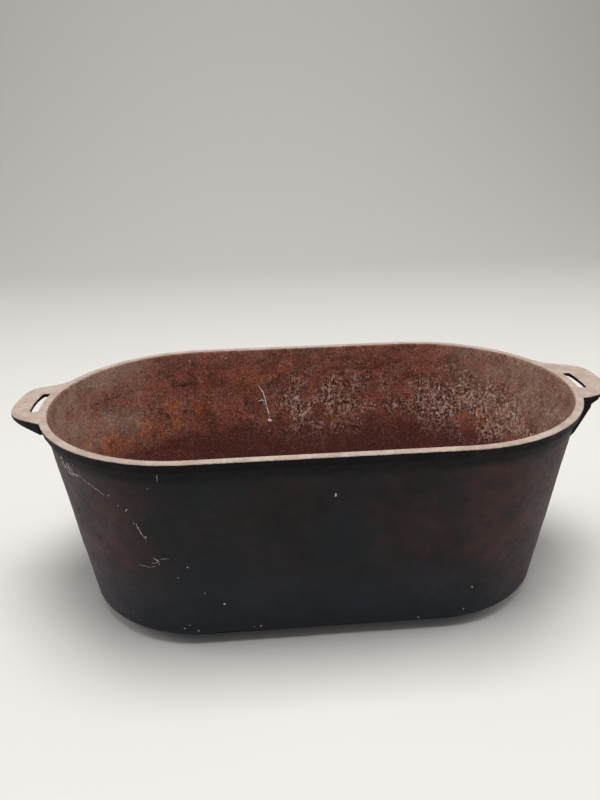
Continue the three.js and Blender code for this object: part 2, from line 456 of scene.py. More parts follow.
    def finish(self, colour: bpy.types.NodeSocket, rough: bpy.types.NodeSocket,
               relief: list[tuple[bpy.types.NodeSocket, float]]) -> bpy.types.Material:
        """Links the colour and roughness, and stacks a bump for each relief.

        Args:
            colour: the base colour.
            rough: the roughness.
            relief: pairs of a height from 0 to 1 and the depth in millimetres that it stands for.

        Returns:
            The finished material.
        """
        self.links.new(colour, self.shader.inputs["Base Color"])
        self.links.new(rough, self.shader.inputs["Roughness"])
        normal = None
        for height, depth in relief:
            links = {"Height": height, "Distance": depth * MM, "Strength": 1.0}
            if normal is not None:
                links["Normal"] = normal
            normal = self.add("ShaderNodeBump", links=links).outputs["Normal"]
        self.links.new(normal, self.shader.inputs["Normal"])
        return self.material


@dataclass(frozen=True)
class SeasonedIron:
    """Old oven-blackened cast iron: sand-cast grain, dull black crust, brown bloom, dust and painted sheen
    at the ends, painted shade under the band.
    """

    black: str = "#18191c"
    crust: str = "#0f1012"
    brown: str = "#462b2a"
    slate: str = "#1c242d"
    teal: str = "#0a1a20"
    ash: str = "#48443f"
    painted_shade: str = "#040507"
    dusty_sheen: str = "#72616a"
    grain_mm: float = 2.4

    def make(self, name: str = "seasoned_cast_iron") -> bpy.types.Material:
        """Builds the material."""
        tree = Tree(name, 0.22)
        fine = tree.grain(4, 5, 0.65)
        blue = tree.times(tree.field(Field.SLATE), tree.span(tree.grain(22), 0.3, 0.65, 0.45, 1))
        bloom = tree.times(tree.field(Field.BLOOM), tree.span(tree.grain(13, 5, 0.6), 0.25, 0.68, 0.35, 1))
        dust_and_sheen = tree.times(tree.field(Field.DUST_AND_SHEEN), tree.span(tree.grain(7, 5, 0.7), 0.3, 0.65, 0.3, 1))
        colour = tree.blend(tree.span(tree.grain(48, 4), 0.38, 0.62), self.crust, self.black)
        colour = tree.coats(colour, [
            (tree.span(tree.grain(75, 2, 0.5), 0.5, 0.62, 0, 0.7), self.teal),
            (blue, self.slate),
            (tree.times(bloom, 0.85), self.brown),
            # dust and painted sheen, paler at the round ends
            (tree.times(dust_and_sheen, 0.42), self.dusty_sheen),
            (tree.span(fine, 0.54, 0.76, 0, 0.3), self.ash),
            (tree.span(fine, 0.46, 0.28, 0, 0.5), self.crust),
            # painted shade, near black, in the crease under the rim band and on the gussets under the right
            # tab
            (tree.field(Field.PAINTED_SHADE), self.painted_shade),
        ])
        rough = tree.span(fine, 0.3, 0.7, 0.55, 0.75)
        relief = [(tree.grain(self.grain_mm, 4, 0.6), 0.4), (tree.grain(0.7, 2), 0.1)]
        return tree.finish(colour, rough, relief)


@dataclass(frozen=True)
class RustedIron:
    """Unwashed iron rusted all over: red-brown film, orange fresh rust, lifted pale scale, dark pits,
    painted shade under the base.
    """

    film: str = "#925042"
    deep: str = "#6c3a30"
    umber: str = "#5a3b33"
    orange: str = "#b2662c"
    scale: str = "#ecd0c0"
    dust_and_sheen: str = "#9b8172"
    pit: str = "#29150f"
    maroon: str = "#552b28"
    painted_shade_black: str = "#141416"
    flake_mm: float = 2.1

    def make(self, name: str = "rusted_cast_iron") -> bpy.types.Material:
        """Builds the material."""
        tree = Tree(name, 0.2)
        fine = tree.grain(1.9, 5, 0.75)
        runs = tree.grain(6, 6, 0.7, tree.stretched(1, 1, 0.35))
        rings = tree.grain(7, 5, 0.7, tree.stretched(0.3, 0.3, 1.6))
        specks = tree.grain(2.4, 6, 0.8, tree.stretched(0.6, 0.6, 1.3))
        ragged = tree.ragged(1.0, 1.8)
        large = tree.flakes(self.flake_mm, tree.stretched(1, 1, 0.6, ragged))
        small = tree.flakes(self.flake_mm * 0.7, ragged)
        flakes, depth = tree.field(Field.SCALE), tree.field(Field.DEPTH)
        fresh = tree.times(tree.field(Field.ORANGE), tree.span(tree.grain(4.5, 6, 0.75), 0.42, 0.58))
        dust_and_sheen = tree.times(tree.field(Field.DUST_AND_SHEEN), tree.span(runs, 0.25, 0.6, 1, 0.6))
        crumbs = tree.span(tree.grain(5, 7, 0.78, tree.stretched(1, 1, 0.3)), 0.44, 0.6, 0.15, 1)
        lifted = tree.times(tree.times(tree.span(large, 0.5, 0.7), flakes), crumbs)
        pits = tree.times(tree.span(large, 0.32, 0.22), flakes)
        sparse = tree.math("ADD", tree.times(flakes, 0.6), 0.03)
        calm = tree.span(depth, 0, 1, 1, 0.45)
        colour = tree.blend(tree.span(tree.grain(20, 6, 0.7), 0.4, 0.6), self.deep, self.film)
        colour = tree.coats(colour, [
            (tree.span(rings, 0.52, 0.7, 0, 0.6), self.umber),
            (tree.span(runs, 0.52, 0.7, 0, 0.6), self.maroon),
            (tree.span(rings, 0.46, 0.34, 0, 0.65), self.pit),
            (fresh, self.orange),
            (tree.times(depth, 0.8), self.maroon),
            # dust and painted sheen at the round ends and under the rim
            (dust_and_sheen, self.dust_and_sheen),
            (tree.times(lifted, 0.9), self.scale),
            (tree.times(pits, 0.62), self.pit),
            (tree.times(tree.span(small, 0.82, 0.9), sparse), self.scale),
            (tree.times(tree.span(small, 0.2, 0.12), sparse), self.pit),
            (tree.times(tree.span(fine, 0.54, 0.68, 0, 0.42), calm), self.scale),
            (tree.times(tree.span(fine, 0.48, 0.34, 0, 0.85), calm), self.pit),
            (tree.times(tree.span(specks, 0.44, 0.34, 0, 0.6), calm), self.pit),
            # painted shade, near black, on the base's underside and outer face
            (tree.field(Field.PAINTED_SHADE), self.painted_shade_black),
        ])
        rough = tree.span(fine, 0.3, 0.7, 0.78, 0.95)
        return tree.finish(colour, rough, [(lifted, 0.3), (pits, -0.4), (fine, 0.3)])


@dataclass(frozen=True)
class WornIron:
    """Bare iron worn pale by lids and hands and dried dusty, with the black crust left on its sides."""

    pale: str = "#b0a095"
    warm: str = "#a08c80"
    grey: str = "#877e78"
    rosy: str = "#ab8b82"
    ochre: str = "#a69876"
    crust: str = "#0a0d12"
    brown: str = "#241a19"

    def make(self, name: str = "worn_cast_iron") -> bpy.types.Material:
        """Builds the material."""
        tree = Tree(name, 0.13)
        fine = tree.grain(2.6, 5, 0.65)
        streaks = tree.grain(11, 3, 0.5, tree.stretched(1, 1.2, 1))
        bloom = tree.times(tree.field(Field.BLOOM), tree.span(tree.grain(11, 5, 0.6), 0.36, 0.64))
        edge = tree.math("ADD", tree.field(Field.WORN), tree.span(tree.grain(4, 4), 0.3, 0.7, -0.22, 0.22))
        top = tree.blend(tree.span(tree.grain(14, 4), 0.35, 0.65), self.warm, self.pale)
        top = tree.coats(top, [
            (tree.span(tree.grain(9, 3), 0.54, 0.68, 0, 0.5), self.rosy),
            (tree.span(streaks, 0.58, 0.7, 0, 0.4), self.ochre),
            (tree.span(fine, 0.5, 0.35, 0, 0.75), self.grey),
        ])
        side = tree.blend(bloom, self.crust, self.brown)
        side = tree.blend(tree.span(fine, 0.58, 0.78, 0, 0.12), side, self.grey)
        colour = tree.blend(tree.span(edge, 0.4, 0.6), side, top)
        rough = tree.span(fine, 0.3, 0.7, 0.6, 0.82)
        return tree.finish(colour, rough, [(tree.grain(2.2, 4, 0.6), 0.28), (tree.grain(0.8, 2), 0.1)])


@dataclass(frozen=True)
class PaleLint:
    """Dried lint, web and lime drops: matt off-white fibre and crust."""

    white: str = "#fbf8f2"
    dirty: str = "#c2b9ae"

    def make(self, name: str = "pale_lint") -> bpy.types.Material:
        """Builds the material."""
        tree = Tree(name)
        fine = tree.grain(1.5, 3)
        colour = tree.blend(tree.span(fine, 0.35, 0.65), self.dirty, self.white)
        return tree.finish(colour, tree.span(fine, 0.3, 0.7, 0.8, 0.95), [(fine, 0.1)])


@dataclass(frozen=True)
class StudioPaper:
    """Plain matt background paper."""

    pale: str = "#d6d4d0"
    fleck: str = "#d8d6d2"

    def make(self, name: str = "studio_paper") -> bpy.types.Material:
        """Builds the material."""
        tree = Tree(name)
        fine = tree.grain(6, 2)
        colour = tree.blend(tree.span(fine, 0.2, 0.8, 0, 0.06), self.pale, self.fleck)
        return tree.finish(colour, tree.span(fine, 0.3, 0.7, 0.88, 0.92), [(fine, 0.02)])


# ------------------------------------------------------------------ meshes

def make_piece(name: str, points_mm: np.ndarray, faces: np.ndarray, material: bpy.types.Material,
               fields: dict[Field, np.ndarray] | None = None) -> bpy.types.Object:
    """Puts points and faces into a smooth mesh with the object at the origin.

    Args:
        name: the piece's name.
        points_mm: places in millimetres, shape (points, 3).
        faces: point numbers, shape (faces, 4).
        material: its finish.
        fields: numbers at each point that the material reads.

    Returns:
        The object, linked to the scene.
    """
    faces = facing_out(points_mm, faces)
    mesh = bpy.data.meshes.new(name)
    mesh.vertices.add(len(points_mm))
    mesh.vertices.foreach_set("co", (points_mm * MM).astype(np.float32).ravel())
    mesh.loops.add(faces.size)
    mesh.loops.foreach_set("vertex_index", faces.astype(np.int32).ravel())
    mesh.polygons.add(len(faces))
    mesh.polygons.foreach_set("loop_start", np.arange(0, faces.size, 4, dtype=np.int32))
    mesh.polygons.foreach_set("use_smooth", np.ones(len(faces), dtype=bool))
    mesh.update(calc_edges=True)
    for field, values in (fields or {}).items():
        layer = mesh.attributes.new(field.value, "FLOAT", "POINT")
        layer.data.foreach_set("value", values.astype(np.float32).ravel())
    mesh.materials.append(material)
    piece = bpy.data.objects.new(name, mesh)
    bpy.context.scene.collection.objects.link(piece)
    return piece


def grid_piece(name: str, place: np.ndarray, closed: bool, material: bpy.types.Material,
               fields: dict[Field, np.ndarray] | None = None) -> bpy.types.Object:
    """Makes a piece of a grid of places, shape (rows, columns, 3), which may close on its first row."""
    rows, columns = place.shape[:2]
    return make_piece(name, place.reshape(-1, 3), grid_faces(rows, columns, closed), material, fields)


def place_piece(piece: bpy.types.Object, slot: str, *nodes: str) -> None:
    """Makes a piece ride on the pot and stand for its solids."""
    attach(piece, "root")
    if nodes:
        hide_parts(*nodes)
    log.info("%s: %d faces", piece.name, len(piece.data.polygons))


# ------------------------------------------------------------------ the casting

@dataclass(frozen=True)
class Casting:
    """The driving sizes of the pot in millimetres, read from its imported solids."""

    plan: Plan
    top: float
    band_foot: float
    ledge: float
    base_inset: float
    draft: float = math.radians(7.6)
    rim_width: float = 7.5
    wall_step: float = 4.0
    base_wall: float = 5.0

    @classmethod
    def from_frame(cls) -> "Casting":
        """Measures the rim, the ledge and the base."""
        rim_low, rim_high = (np.array(corner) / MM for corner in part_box("rim_band"))
        base_high = np.array(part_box("sunken_base")[1]) / MM
        plan = Plan(rim_high[0], rim_high[1])
        return cls(plan, rim_high[2], rim_low[2], base_high[2], rim_high[1] - base_high[1])

    def outer_inset(self, height: float) -> float:
        """Inset of the wall's outer face at a height."""
        return self.wall_step + (self.top - height) * math.tan(self.draft)

    def inner_inset(self, height: float) -> float:
        """Inset of the wall's inner face at a height."""
        return self.rim_width + (self.top - height) * math.tan(self.draft)

    def middle_inset(self, height: float) -> float:
        """Inset of the middle of the wall at a height."""
        return (self.outer_inset(height) + self.inner_inset(height)) / 2

    def bloom(self, place: np.ndarray) -> np.ndarray:
        """How brown the outside is: most at the two ends, least left of the middle and low down."""
        along = place[..., 0]
        ends = ease(-120, -215, along) + 1.1 * ease(20, 190, along)
        patches = ease(-0.35, 0.4, layered(place, 48, 71, 4))
        low = ease(20, 100, place[..., 2] + 45 * ease(120, 220, along))
        return np.clip((0.22 + ends) * (0.45 + 0.7 * patches) * low, 0, 1)

    def dusty_sheen(self, place: np.ndarray) -> np.ndarray:
        """How pale the outside is at the two round ends, most at the left: dust with painted sheen."""
        along = place[..., 0]
        ends = ease(-150, -225, along) + 0.75 * ease(130, 230, along)
        return np.clip(ends * (0.7 + 0.6 * layered(place, 35, 73)), 0, 1)

    def painted_shade(self, place: np.ndarray) -> np.ndarray:
        """Painted shade on the outside: black only in the crease under the rim band."""
        waver = 1.6 * layered(place, 20, 79)
        return 0.95 * ease(self.band_foot - 15, self.band_foot - 5, place[..., 2] + waver)

    def slate(self, place: np.ndarray) -> np.ndarray:
        """How blue-grey the outside is: low down, with a wavering upper edge."""
        waver = 22 * layered(place, 70, 77)
        return ease(105, 45, place[..., 2] + waver) * ease(330, 120, place[..., 0])


@dataclass(frozen=True)
class PotWall:
    """The tapered wall with its rounded lower corner and ledge: an outer and an inner skin."""

    casting: Casting
    outer_columns: int = 560
    inner_columns: int = 760
    outer_spacing: float = 2.2
    inner_spacing: float = 1.65
    hidden_spacing: float = 14.0
    outer_radius: float = 8.0
    inner_radius: float = 12.0
    ledge_thickness: float = 5.0

    def outer_section(self) -> Section:
        """From under the rim band down the wall, round the corner, along the ledge and back inside."""
        c = self.casting
        head, half_ledge = c.band_foot + 3, c.ledge + self.ledge_thickness / 2
        throat = c.base_inset + c.base_wall / 2
        return rounded([
            Corner(c.outer_inset(head), head, 0, self.outer_spacing),
            Corner(c.outer_inset(c.ledge), c.ledge, self.outer_radius, self.outer_spacing),
            Corner(throat, c.ledge, 0, 1.5),
            Corner(throat, half_ledge, 0, self.hidden_spacing),
            Corner(c.middle_inset(half_ledge), half_ledge, 10, self.hidden_spacing),
            Corner(c.middle_inset(head), head, 0, 1.5),
        ])

    def inner_section(self) -> Section:
        """From just under the rim's top down the inner face, round onto the ledge and back inside."""
        c = self.casting
        head, half_ledge = c.top - 0.7, c.ledge + self.ledge_thickness / 2
        shelf = c.ledge + self.ledge_thickness
        throat = c.base_inset + c.base_wall
        return rounded([
            Corner(c.middle_inset(head), head, 0, 1.5),
            Corner(c.middle_inset(half_ledge), half_ledge, 10, self.hidden_spacing),
            Corner(throat, half_ledge, 0, 1.5),
            Corner(throat, shelf, 1.5, 1.5),
            Corner(c.inner_inset(shelf), shelf, self.inner_radius, self.inner_spacing),
            Corner(c.inner_inset(head), head, 0, 1.5),
        ])

    def build_outside(self, material: bpy.types.Material) -> bpy.types.Object:
        """Makes the outer skin, uneven as sand leaves it."""
        surface = carry(self.outer_section(), self.casting.plan, self.outer_columns)
        place = surface.place
        lumps = 0.45 * layered(place, 55, 11) + 0.16 * layered(place, 9, 12, 2)
        hollow, kind = spots(place, 26, 13)
        dents = -0.35 * ease(0.32, 0.0, hollow) * (kind > 0.72)
        surface.push(lumps + dents)
        c = self.casting
        fields = {Field.BLOOM: c.bloom(place), Field.SLATE: c.slate(place), Field.PAINTED_SHADE: c.painted_shade(place),
                  Field.DUST_AND_SHEEN: c.dusty_sheen(place)}
        return grid_piece("wall_outside", surface.place, True, material, fields)

    def flaking(self, place: np.ndarray) -> np.ndarray:
        """Where rust has lifted in scales: a broad belt along the rear wall, least at the round ends."""
        along, height = place[..., 0], place[..., 2]
        right = 0.9 * hill(along, 25, 45) + 0.8 * hill(along, 175, 52) + 0.3 * ease(-90, 0, along)
        belt = hill(height, 135, 30) * (0.12 + right)
        belt = belt + 1.2 * hill(along, 200, 14) * hill(height, 114, 12)
        drift = hill(along, -150, 60) * hill(height, 120, 22) * 0.12
        front = ease(40, -40, place[..., 1]) * 0.35
        patches = ease(-0.6, 0.25, layered(place, 26, 21, 4))
        return np.clip((belt + drift + front) * patches * 1.15, 0, 1)

    def dusting_and_sheen(self, place: np.ndarray) -> np.ndarray:
        """Where dry dust and painted sheen grey the rust: at the round ends and in a strip under the rim.
        """
        along, height = np.abs(place[..., 0]), place[..., 2]
        ends = ease(145, 228, along) * ease(95, 155, height + 20 * layered(place, 40, 25))
        ends = np.maximum(ends, 0.8 * ease(228, 250, along) * ease(70, 120, height))
        strip = 0.3 * ease(178, 198, height)
        return np.clip((ends + strip) * (0.75 + 0.8 * layered(place, 30, 23, 5)), 0, 1)

    def deepening(self, place: np.ndarray) -> np.ndarray:
        """Where the rust is dark maroon: darker towards the bottom, with a wavering upper edge."""
        waver = 9 * layered(place, 50, 29)
        return ease(122, 96, place[..., 2] + waver) * ease(250, 195, np.abs(place[..., 0]))

    def freshness(self, place: np.ndarray) -> np.ndarray:
        """Where the rust is orange: in patches, low at the left end and under the flaking belt."""
        along, height = place[..., 0], place[..., 2]
        left = hill(along, -175, 70) * hill(height, 131, 22)
        middle = 0.55 * hill(along, 20, 60) * hill(height, 112, 14)
        right = 1.2 * hill(along, 192, 15) * hill(height, 115, 13)
        upper = 0.5 * hill(along, -40, 40) * hill(height, 165, 10)
        patches = ease(-0.3, 0.35, layered(place, 20, 27, 5))
        crumbled = right * ease(-0.4, 0.2, layered(place, 6, 28, 3))
        return np.clip((0.12 + 1.15 * left + middle + upper) * patches + crumbled, 0, 1)

    def build_inside(self, material: bpy.types.Material) -> bpy.types.Object:
        """Makes the inner skin, with lifted scales, and pits where scales have dropped off."""
        surface = carry(self.inner_section(), self.casting.plan, self.inner_columns)
        place = surface.place
        flaking = self.flaking(place)
        plates = ease(-0.05, 0.3, layered(place, 5.5, 32, 2))
        hollow, kind = spots(place, 5.0, 33)
        pits = ease(0.5, 0.1, hollow) * (kind > 0.5)
        lumps = 0.4 * layered(place, 48, 31) + 0.14 * layered(place, 8, 34, 2)
        fade = ease(self.casting.top - 1, self.casting.top - 7, place[..., 2])
        surface.push(fade * (lumps + flaking * (0.4 * plates - 0.6 * pits) - 0.1 * pits))
        fields = {
            Field.SCALE: np.clip(flaking * (0.7 + 0.4 * plates), 0, 1),
            Field.DUST_AND_SHEEN: self.dusting_and_sheen(place),
            Field.ORANGE: self.freshness(place),
            Field.DEPTH: self.deepening(place),
        }
        return grid_piece("wall_inside", surface.place, True, material, fields)


@dataclass(frozen=True)
class RimBand:
    """The thick band round the mouth: flat worn top, slightly tapered outer face."""

    casting: Casting
    columns: int = 1040
    spacing: float = 1.1
    outer_ease: float = 1.1
    inner_ease: float = 0.8
    taper: float = 2.0
    overlap: float = 0.15
    chips: tuple[tuple[float, float], ...] = ((-134.0, 3.2), (32.0, 2.6), (-61.0, 1.8), (96.0, 1.6))

    def section(self) -> Section:
        """The band's four corners. Its inner face stands just behind the wall's inner skin."""
        c = self.casting
        inner = c.rim_width - self.overlap
        return rounded([
            Corner(0, c.top, self.outer_ease, self.spacing),
            Corner(self.taper, c.band_foot, 1.2, self.spacing),
            Corner(inner, c.band_foot, 0, 3),
            Corner(inner, c.top, self.inner_ease, self.spacing),
        ])

    def build(self, material: bpy.types.Material) -> bpy.types.Object:
        """Makes the band, with small chips out of its front edge."""
        c = self.casting
        surface = carry(self.section(), c.plan, self.columns)
        place = surface.place
        inset = np.broadcast_to(self.section().inset[:, None], place.shape[:2])
        upper = ease(c.top - 1.6, c.top - 0.3, place[..., 2])
        uneven = 0.22 * layered(place, 42, 41, 3) + 0.1 * layered(place, 7, 42, 2)
        amount = uneven * (1 - upper) + 0.05 * layered(place, 18, 43, 2) * upper
        near_edge = ease(2.6, 0.2, inset) * upper * (place[..., 1] < 0)
        for along, size in self.chips:
            amount = amount - 0.28 * size * near_edge * hill(place[..., 0], along, size * 0.6)
        surface.push(amount)
        fields = {Field.WORN: ease(c.top - 1.3, c.top - 0.35, place[..., 2]), Field.BLOOM: c.bloom(place)}
        return grid_piece("rim_top_and_band", surface.place, True, material, fields)


@dataclass(frozen=True)
class BasePan:
    """The sunken base that drops into a stove opening, with the floor of the pot inside it."""

    casting: Casting
    columns: int = 360
    spacing: float = 3.6
    floor: float = 5.0

    def build(self, material: bpy.types.Material) -> bpy.types.Object:
        """Makes the base as one closed pan. Its underside and floor both end on the middle line."""
        c = self.casting
        middle, throat, head = c.plan.half_width, c.base_inset + c.base_wall, c.ledge + 1.5
        section = rounded([
            Corner(middle, self.floor, 0, self.spacing),
            Corner(throat, self.floor, 3.0, 1.5),
            Corner(throat, head, 0, 1.5),
            Corner(c.base_inset, head, 0, 1.5),
            Corner(c.base_inset, 0, 2.5, self.spacing),
            Corner(middle, 0, 0, self.spacing),
        ], closed=False)
        surface = carry(section, c.plan, self.columns)
        place = surface.place
        above = ease(2.6, 4.0, place[..., 2])
        surface.push(above * (0.4 * layered(place, 40, 51) + 0.15 * layered(place, 7, 52, 2)))
        inset = np.broadcast_to(section.inset[:, None], place.shape[:2])
        below, beside = ease(4.2, 2.8, place[..., 2]), ease(c.base_inset + 2, c.base_inset + 1, inset)
        fields = {
            # painted shade: black on the underside and outer face of the base, under the pot
            Field.PAINTED_SHADE: np.maximum(below, beside),
            Field.SCALE: 0.35 * ease(-0.2, 0.5, layered(place, 30, 53)),
            Field.DUST_AND_SHEEN: 0.25 * ease(-0.2, 0.5, layered(place, 60, 54)),
            Field.ORANGE: 0.5 * ease(-0.1, 0.5, layered(place, 45, 55)),
            Field.DEPTH: 0.6 * ease(0.3, -0.3, layered(place, 60, 56)),
        }
        piece = grid_piece("base_pan", surface.place, False, material, fields)
        self.join_middle(piece)
        return piece

    @staticmethod
    def join_middle(piece: bpy.types.Object) -> None:
        """Joins the points that meet on the middle line, so that the pan is closed."""
        shape = bmesh.new()
        shape.from_mesh(piece.data)
        bmesh.ops.remove_doubles(shape, verts=shape.verts, dist=0.02 * MM)
        bmesh.ops.dissolve_degenerate(shape, edges=shape.edges, dist=0.01 * MM)
        shape.to_mesh(piece.data)
        shape.free()


# ------------------------------------------------------------------ handles

class Side(Enum):
    """The two ends of the pot, as the sign of X there."""

    LEFT = -1
    RIGHT = 1


def bend(start: tuple, control: tuple, end: tuple, steps: int = 12) -> np.ndarray:
    """A quadratic curve from start to end, pulled towards a control point, without its last point."""
    t = np.arange(steps)[:, None] / steps
    a, b, c = np.array(start), np.array(control), np.array(end)
    return (1 - t) ** 2 * a + 2 * t * (1 - t) * b + t ** 2 * c


def through(knots: list[tuple[float, float]], steps: int = 10) -> np.ndarray:
    """A smooth curve through knots. Its direction at a knot is that from the knot before to the next."""
    knot = np.array(knots, dtype=float)
    slope = np.gradient(knot, axis=0)
    t = (np.arange(steps) / steps)[None, :, None]
    a, b, p, q = knot[:-1, None], knot[1:, None], slope[:-1, None], slope[1:, None]
    curve = (2 * t ** 3 - 3 * t ** 2 + 1) * a + (t ** 3 - 2 * t ** 2 + t) * p
    curve = curve + (3 * t ** 2 - 2 * t ** 3) * b + (t ** 3 - t ** 2) * q
    return np.concatenate([curve.reshape(-1, 2), knot[-1:]])


def evenly(line: np.ndarray, count: int) -> np.ndarray:
    """The line, resampled at equal distances along itself, both ends kept."""
    walked = np.concatenate([[0], np.cumsum(np.linalg.norm(np.diff(line, axis=0), axis=1))])
    at = np.linspace(0, walked[-1], count)
    return np.stack([np.interp(at, walked, line[:, axis]) for axis in range(2)], axis=1)


LEFT_EDGE = ((251.8, -46.2), (259.3, -41.7), (266.9, -36.4), (272.8, -29.8), (276.5, -22.2),
             (278.7, -13.0), (279.5, -3.4), (279.3, 7.0), (278.5, 18.0), (276.8, 28.6), (273.0, 36.6),
             (267.0, 41.2), (259.0, 43.9), (252.0, 46.8), (247.0, 50.4), (242.6, 55.4), (238.6, 60.8),
             (235.0, 63.5))
RIGHT_EDGE = ((252.0, -48.6), (257.5, -46.6), (264.0, -43.6), (271.5, -39.0), (277.6, -32.4),
              (281.4, -23.6), (283.4, -12.5), (284.2, 0.0), (284.2, 11.5), (283.2, 21.5),
              (280.6, 29.8), (275.6, 35.8), (267.6, 39.8), (259.0, 43.2), (252.0, 46.8),
              (247.0, 50.6), (242.6, 55.6), (238.6, 60.8), (235.0, 63.5))


@dataclass(frozen=True)
class Handle:
    """A flat lifting tab: a bar on two legs, flush with the rim, with a finger slot behind the bar.

    Its free edge is filed by hand, so each tab has its own outline: places from the front leg round the
    tip to the rear leg, in millimetres from the middle of the pot, as if it were the right one.
    """

    casting: Casting
    side: Side
    edge: tuple[tuple[float, float], ...]
    slot_front: float
    slot_rear: float
    rib_depth: float = 0.0
    rib_length: float = 22.0
    thickness: float = 3.8
    root_half: float = 50.2
    slot_width: float = 7.5
    slot_radius: float = 3.6
    slot_inner_radius: float = 3.0
    lap: float = 3.0
    lift: float = 0.05
    edge_radius: float = 1.1
    tab_steps: int = 150
    rim_steps: int = 40

    def at(self, radius: float, angle: float) -> tuple[float, float]:
        """A place at a radius and an angle round the centre of the pot's right end."""
        return (self.casting.plan.centre + radius * math.cos(angle), radius * math.sin(angle))

    def arc(self, radius: float | np.ndarray, start: float, end: float, steps: int = 40) -> np.ndarray:
        """Places on an arc, or on a spiral, round the centre of the pot's right end."""
        angle = np.linspace(start, end, steps)
        return np.stack([self.casting.plan.centre + radius * np.cos(angle), radius * np.sin(angle)], axis=1)

    def tab_edge(self) -> np.ndarray:
        """The free edge of the tab. It starts and ends inside the rim, with a sharp front corner."""
        rim = self.casting.plan.half_width
        corner = self.at(rim + 0.3, -math.asin(self.root_half / rim))
        inside = self.at(rim - self.lap, -math.asin((self.root_half + 0.5) / rim))
        return np.concatenate([np.array([inside]), through([corner, *self.edge])])

    def slot_end(self, angle: float) -> np.ndarray:
        """One end of the slot, from the bar to the rim, with both of its corners rounded."""
        rim = self.casting.plan.half_width + 0.15
        outer, way = rim + self.slot_width, math.copysign(1, angle)
        first, second = self.slot_radius, self.slot_inner_radius
        last = self.at(rim, angle - way * second / rim)
        return np.concatenate([
            bend(self.at(outer, angle - way * first / outer), self.at(outer, angle),
                 self.at(outer - first, angle)),
            bend(self.at(rim + second, angle), self.at(rim, angle), last),
            np.array([last]),
        ])

    def slot_edge(self) -> np.ndarray:
        """The edge of the slot from its front end on the rim, round the bar, to its rear end."""
        rim = self.casting.plan.half_width + 0.15
        front, rear = -math.asin(self.slot_front / rim), math.asin(self.slot_rear / rim)
        turn = self.slot_radius / (rim + self.slot_width)
        bar = self.arc(rim + self.slot_width, front + turn, rear - turn)
        return np.concatenate([self.slot_end(front)[::-1], bar[1:-1], self.slot_end(rear)])

    def loops(self) -> tuple[np.ndarray, np.ndarray]:
        """The inner and the outer loop of the ring that the tab makes with the rim round its slot.

        Returns:
            Places on the slot's edge and on the tab's edge, or inside the rim, shape (steps, 2) each.
        """
        parts = []
        for edge in (self.slot_edge(), self.tab_edge()):
            first, last = edge[0] - (self.casting.plan.centre, 0), edge[-1] - (self.casting.plan.centre, 0)
            start, end = math.atan2(last[1], last[0]), math.atan2(first[1], first[0])
            radius = np.linspace(math.hypot(*last), math.hypot(*first), self.rim_steps + 2)
            back = self.arc(radius, start, end, self.rim_steps + 2)
            parts.append(np.concatenate([evenly(edge, self.tab_steps), back[1:-1]]))
        return parts[0], parts[1]

    def rib_drop(self, flat: np.ndarray, from_edge: np.ndarray) -> np.ndarray:
        """How far the ribs hang below the plate.

        A rib follows the tab's edge. It is deepest at the rim and runs out along its length.
        """
        plan = self.casting.plan
        away = np.hypot(flat[..., 0] - plan.centre, flat[..., 1]) - plan.half_width
        ramp = np.clip(1 - away / self.rib_length, 0, 1)
        return self.rib_depth * ramp * ease(7.0, 3.0, from_edge) * ease(12, 24, np.abs(flat[..., 1]))

    def build(self, material: bpy.types.Material) -> bpy.types.Object:
        """Makes the tab: a section is carried round the slot, from the slot's edge out and back below.

        Each section runs along the line between the two loops. Its four edges are quarter circles.
        """
        c = self.casting
        inner, outer = self.loops()
        gap = np.linalg.norm(outer - inner, axis=1)
        r = np.minimum(self.edge_radius, gap / 3)
        turn = np.linspace(0, math.pi / 2, 6)
        rise, run = np.sin(turn)[:, None], 1 - np.cos(turn)[:, None]
        cross = np.linspace(0, 1, 18)[1:-1, None]
        top_row = r + (gap - 2 * r) * cross
        ones = np.ones_like(gap)
        reach = np.concatenate([run * r, top_row, (gap - run * r)[::-1], gap - run * r, top_row[::-1],
                                (run * r)[::-1]])
        depth = np.concatenate([(1 - rise) * r, 0 * cross * ones, ((1 - rise) * r)[::-1]])
        share = (reach / gap)[..., None]
        flat = inner[None] * (1 - share) + outer[None] * share
        drop = self.rib_drop(flat, gap[None] - reach)
        half = depth.shape[0]
        height = np.concatenate([c.top + self.lift - depth, c.top - self.thickness - drop[half:] + depth])
        place = np.concatenate([flat, height[..., None]], axis=2)
        upper = np.zeros(height.shape)
        upper[:half] = 1 - ease(0, 1, depth / r)
        place[..., 2] += 0.05 * layered(place, 18, 43, 2) * upper
        place[..., 2] += 0.12 * layered(place, 12, 61, 2) * (1 - upper)
        if self.side is Side.LEFT:
            place[..., 0] *= -1
        fields = {Field.WORN: upper, Field.BLOOM: c.bloom(place)}
        return grid_piece(f"{self.side.name.lower()}_lifting_tab", place, True, material, fields)


GUSSET_EDGE = ((138.0, 198.0), (135.2, 190.0), (131.5, 162.0), (130.4, 154.0), (135.5, 154.6),
               (139.6, 160.0), (145.4, 173.6), (151.0, 187.0), (151.4, 191.0), (153.4, 194.6),
               (157.0, 196.6), (157.0, 198.0))


